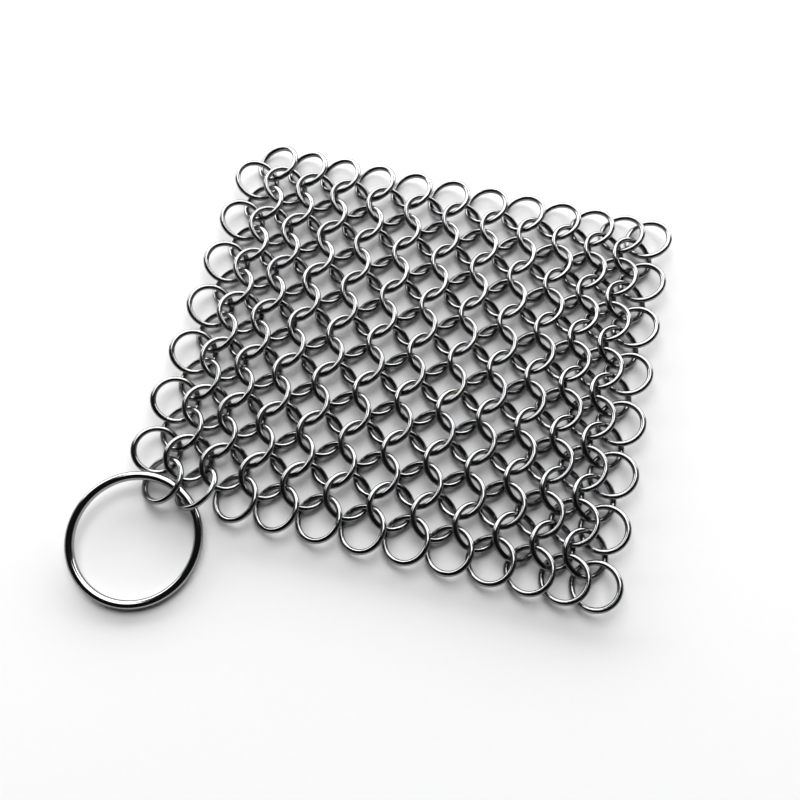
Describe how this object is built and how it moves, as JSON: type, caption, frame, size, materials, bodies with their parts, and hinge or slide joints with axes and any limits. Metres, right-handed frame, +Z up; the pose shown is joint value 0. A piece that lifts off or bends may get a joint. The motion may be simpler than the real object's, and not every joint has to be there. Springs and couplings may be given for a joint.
{
  "type": "pot scrubber",
  "caption": "Square chain-mail pot scrubber: a flexible net of linked polished steel wire rings, with a larger round ring through one corner to hang it by.",
  "frame": {"origin": "on the surface that the net lies on, in the middle of the whole footprint with the hanging ring", "axes": "+X along the rows, +Y towards the edge away from the hanging ring, +Z up out of the net"},
  "size_m": [0.1082, 0.111, 0.0065],
  "materials": {
    "net_steel": "polished stainless wire",
    "hanging_steel": "mirror-polished stainless wire"
  },
  "bodies": {
    "column_01": {"column_01": "net_steel"},
    "column_02": {"column_02": "net_steel", "edge_corner_ring": "net_steel", "outer_corner_ring": "net_steel"},
    "column_03": {"column_03": "net_steel"},
    "column_04": {"column_04": "net_steel", "inner_corner_ring": "net_steel"},
    "column_05": {"column_05": "net_steel"},
    "column_06": {"column_06": "net_steel"},
    "column_07": {"column_07": "net_steel"},
    "column_08": {"column_08": "net_steel"},
    "column_09": {"column_09": "net_steel"},
    "column_10": {"column_10": "net_steel"},
    "column_11": {"column_11": "net_steel"},
    "column_12": {"column_12": "net_steel"},
    "column_13": {"column_13": "net_steel"},
    "column_14": {"column_14": "net_steel"},
    "column_15": {"column_15": "net_steel"},
    "column_16": {"column_16": "net_steel"},
    "column_17": {"column_17": "net_steel"},
    "column_18": {"column_18": "net_steel"},
    "column_19": {"column_19": "net_steel"},
    "column_20": {"column_20": "net_steel"},
    "column_21": {"column_21": "net_steel"},
    "column_22": {"column_22": "net_steel"},
    "column_23": {"column_23": "net_steel"},
    "column_24": {"column_24": "net_steel"},
    "hanging_ring": {"hanging_ring": "hanging_steel"}
  },
  "joints": [
    {"name": "fold_11", "type": "hinge", "parent": "column_12", "child": "column_11", "pos_m": [0.00033, 0, 0.00139], "axis": [0, 1, 0], "range_deg": [0, 45]},
    {"name": "fold_12", "type": "hinge", "parent": "column_12", "child": "column_13", "pos_m": [0.00483, 0, 0.00311], "axis": [0, 1, 0], "range_deg": [0, 45]},
    {"name": "fold_10", "type": "hinge", "parent": "column_11", "child": "column_10", "pos_m": [-0.00416, 0, 0.00311], "axis": [0, -1, 0], "range_deg": [0, 45]},
    {"name": "fold_13", "type": "hinge", "parent": "column_13", "child": "column_14", "pos_m": [0.00929, 0, 0.00139], "axis": [0, -1, 0], "range_deg": [0, 45]},
    {"name": "fold_09", "type": "hinge", "parent": "column_10", "child": "column_09", "pos_m": [-0.00863, 0, 0.00139], "axis": [0, 1, 0], "range_deg": [0, 45]},
    {"name": "fold_14", "type": "hinge", "parent": "column_14", "child": "column_15", "pos_m": [0.01372, 0, 0.00309], "axis": [0, 1, 0], "range_deg": [0, 45]},
    {"name": "fold_08", "type": "hinge", "parent": "column_09", "child": "column_08", "pos_m": [-0.01305, 0, 0.00309], "axis": [0, -1, 0], "range_deg": [0, 45]},
    {"name": "fold_15", "type": "hinge", "parent": "column_15", "child": "column_16", "pos_m": [0.01807, 0, 0.00142], "axis": [0, -1, 0], "range_deg": [0, 45]},
    {"name": "fold_07", "type": "hinge", "parent": "column_08", "child": "column_07", "pos_m": [-0.0174, 0, 0.00142], "axis": [0, 1, 0], "range_deg": [0, 45]},
    {"name": "fold_16", "type": "hinge", "parent": "column_16", "child": "column_17", "pos_m": [0.02233, 0, 0.00306], "axis": [0, 1, 0], "range_deg": [0, 45]},
    {"name": "fold_06", "type": "hinge", "parent": "column_07", "child": "column_06", "pos_m": [-0.02166, 0, 0.00306], "axis": [0, -1, 0], "range_deg": [0, 45]},
    {"name": "fold_17", "type": "hinge", "parent": "column_17", "child": "column_18", "pos_m": [0.02647, 0, 0.00147], "axis": [0, -1, 0], "range_deg": [0, 45]},
    {"name": "fold_05", "type": "hinge", "parent": "column_06", "child": "column_05", "pos_m": [-0.02581, 0, 0.00147], "axis": [0, 1, 0], "range_deg": [0, 45]},
    {"name": "fold_18", "type": "hinge", "parent": "column_18", "child": "column_19", "pos_m": [0.03048, 0, 0.00301], "axis": [0, 1, 0], "range_deg": [0, 45]},
    {"name": "fold_04", "type": "hinge", "parent": "column_05", "child": "column_04", "pos_m": [-0.02981, 0, 0.00301], "axis": [0, -1, 0], "range_deg": [0, 45]},
    {"name": "fold_19", "type": "hinge", "parent": "column_19", "child": "column_20", "pos_m": [0.03433, 0, 0.00153], "axis": [0, -1, 0], "range_deg": [0, 45]},
    {"name": "fold_03", "type": "hinge", "parent": "column_04", "child": "column_03", "pos_m": [-0.03366, 0, 0.00153], "axis": [0, 1, 0], "range_deg": [0, 45]},
    {"name": "fold_20", "type": "hinge", "parent": "column_20", "child": "column_21", "pos_m": [0.038, 0, 0.00294], "axis": [0, 1, 0], "range_deg": [0, 45]},
    {"name": "fold_02", "type": "hinge", "parent": "column_03", "child": "column_02", "pos_m": [-0.03733, 0, 0.00294], "axis": [0, -1, 0], "range_deg": [0, 45]},
    {"name": "fold_21", "type": "hinge", "parent": "column_21", "child": "column_22", "pos_m": [0.04147, 0, 0.0016], "axis": [0, -1, 0], "range_deg": [0, 45]},
    {"name": "fold_01", "type": "hinge", "parent": "column_02", "child": "column_01", "pos_m": [-0.0408, 0, 0.0016], "axis": [0, 1, 0], "range_deg": [0, 45]},
    {"name": "fold_22", "type": "hinge", "parent": "column_22", "child": "column_23", "pos_m": [0.04473, 0, 0.00285], "axis": [0, 1, 0], "range_deg": [0, 30]},
    {"name": "fold_23", "type": "hinge", "parent": "column_23", "child": "column_24", "pos_m": [0.04775, 0, 0.00169], "axis": [0, -1, 0], "range_deg": [0, 45]},
    {"name": "hanging_ring_swing", "type": "hinge", "parent": "column_03", "child": "hanging_ring", "pos_m": [-0.03406, -0.0313, 0.00292], "axis": [-0.8524, 0.5145, 0.0932], "range_deg": [0, 70]}
  ]
}
